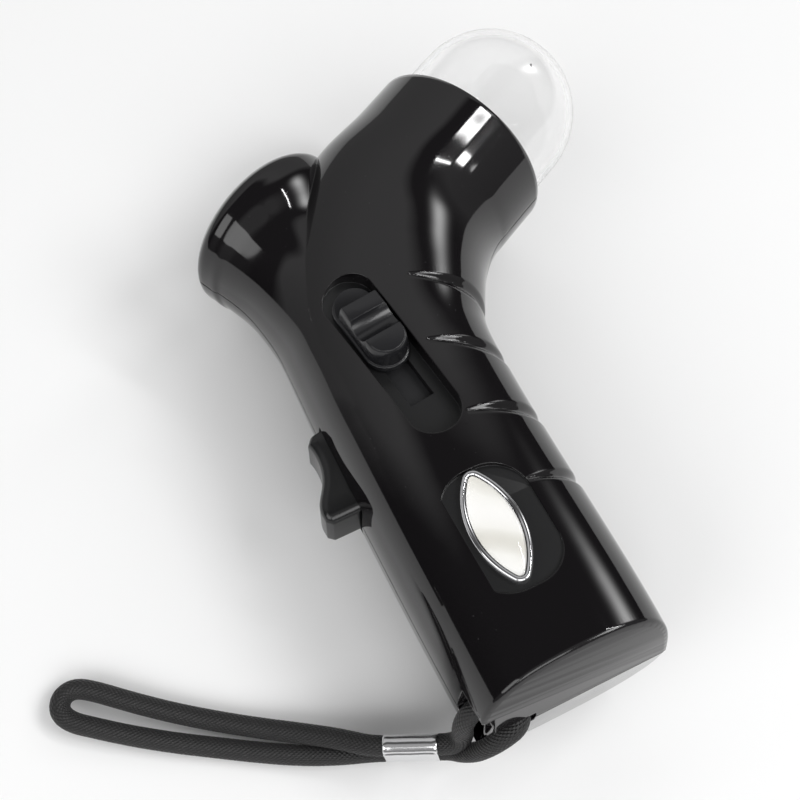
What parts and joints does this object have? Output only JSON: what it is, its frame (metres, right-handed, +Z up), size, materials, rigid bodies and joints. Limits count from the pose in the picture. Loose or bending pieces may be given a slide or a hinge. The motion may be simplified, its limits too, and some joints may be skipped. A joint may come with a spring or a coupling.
{
  "type": "pet treat launcher",
  "caption": "Hand-held spring launcher for pet treats: angled treat hopper with a clear twist-off dome, muzzle bell, thumb cocking slide, finger trigger and wrist strap.",
  "frame": {"origin": "middle of the outline seen from above, on the surface that the launcher lies on", "axes": "+Y along the handle from the butt towards the head, +X towards the back of the handle and the dome, +Z up through the upper housing half"},
  "size_m": [0.1918, 0.1792, 0.056],
  "materials": {
    "black_abs": "high gloss moulded",
    "inner_plastic": "moulded",
    "grey_plastic": "satin moulded",
    "clear_plastic": "clear polished",
    "soft_pad": "moulded",
    "spring_steel": "drawn wire",
    "bright_metal": "polished",
    "badge_face": "gloss",
    "strap_nylon": "braided"
  },
  "bodies": {
    "housing": {"lower_shell": "black_abs", "upper_shell": "black_abs", "hopper_funnel": "inner_plastic", "launch_tube": "inner_plastic", "muzzle_liner": "inner_plastic", "lock_ring": "inner_plastic", "spring_seat": "inner_plastic", "badge_lens": "clear_plastic", "main_spring": "spring_steel", "trigger_spring": "spring_steel", "sear_spring": "spring_steel", "trigger_pin": "spring_steel", "sear_pin": "spring_steel", "shell_screws": "spring_steel", "badge_rim": "bright_metal", "strap_ferrule": "bright_metal", "badge_plate": "badge_face", "strap_tether": "strap_nylon", "strap_loop": "strap_nylon"},
    "dome": {"treat_dome": "clear_plastic"},
    "slider": {"slider_knob": "grey_plastic", "slider_stem": "inner_plastic", "slot_shutter": "inner_plastic", "plunger": "inner_plastic", "plunger_pad": "soft_pad"},
    "trigger": {"trigger": "grey_plastic"},
    "sear": {"sear": "inner_plastic"}
  },
  "joints": [
    {"name": "slider_slide", "type": "slide", "parent": "housing", "child": "slider", "axis": [-0.1132, 0.9936, 0], "range_m": [-0.018, 0], "stiffness_N_per_m": 500, "springref_m": 0.006, "deforming": ["main_spring"]},
    {"name": "trigger_pull", "type": "hinge", "parent": "housing", "child": "trigger", "pos_m": [-0.0447, -0.0081, 0.026], "axis": [0, 0, 1], "range_deg": [0, 6], "stiffness_Nm_per_rad": 0.1, "springref_deg": -5.73, "deforming": ["trigger_spring"]},
    {"name": "sear_turn", "type": "hinge", "parent": "housing", "child": "sear", "pos_m": [-0.0419, -0.0245, 0.026], "axis": [0, 0, 1], "range_deg": [0, 15.12], "stiffness_Nm_per_rad": 0.005, "springref_deg": -11.46, "deforming": ["sear_spring"]},
    {"name": "dome_twist", "type": "hinge", "parent": "housing", "child": "dome", "pos_m": [0.0214, 0.058, 0.026], "axis": [0.8862, 0.4633, 0], "range_deg": [0, 45]}
  ],
  "couplings": [
    {"joint": "sear_turn", "follows": "trigger_pull", "ratio": 2.52}
  ]
}
